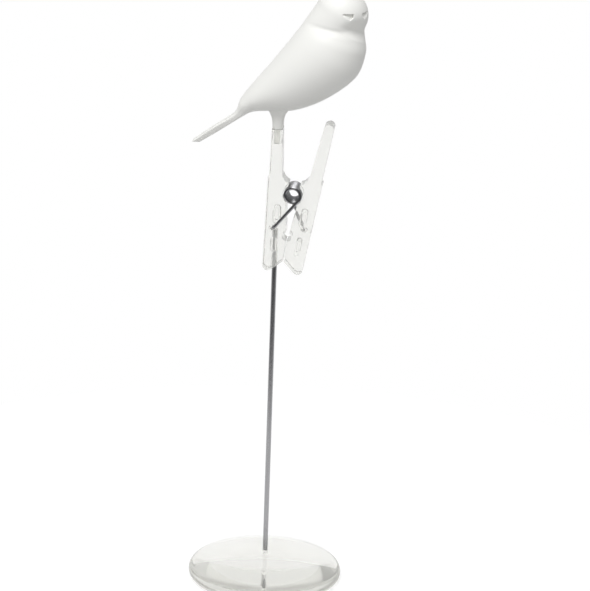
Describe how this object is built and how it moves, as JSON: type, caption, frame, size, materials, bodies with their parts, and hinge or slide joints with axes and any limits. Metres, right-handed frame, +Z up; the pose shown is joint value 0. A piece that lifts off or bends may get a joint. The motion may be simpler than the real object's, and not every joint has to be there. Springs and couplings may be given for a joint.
{
  "type": "memo holder",
  "caption": "Desk memo holder: a white songbird on a clear sprung peg clip, carried by a thin steel rod above a clear domed disc base; the free lever swings to open the jaws.",
  "frame": {"origin": "Middle of the base's flat underside, on the rod's axis", "axes": "+Z up along the rod; +X the way the bird's body faces, from the fixed rear lever to the moving front lever; +Y along the spring's coil, away from the viewer of the picture"},
  "size_m": [0.0668, 0.062, 0.2442],
  "materials": {
    "clear_plastic": "clear, polished",
    "white_plastic": "satin",
    "spring_steel": "bright drawn wire",
    "rod_steel": "drawn and polished"
  },
  "bodies": {
    "stand": {"base_disc": "clear_plastic", "stem_rod": "rod_steel", "rear_lever": "clear_plastic", "torsion_spring": "spring_steel", "bird_right_half": "white_plastic", "bird_left_half": "white_plastic"},
    "lever": {"front_lever": "clear_plastic"}
  },
  "joints": [
    {"name": "clip_hinge", "type": "hinge", "parent": "stand", "child": "lever", "pos_m": [0.0067, 0, 0.1623], "axis": [0, -1, 0], "range_deg": [0, 24], "stiffness_Nm_per_rad": 0.03, "springref_deg": -20.05, "deforming": ["torsion_spring"]}
  ]
}
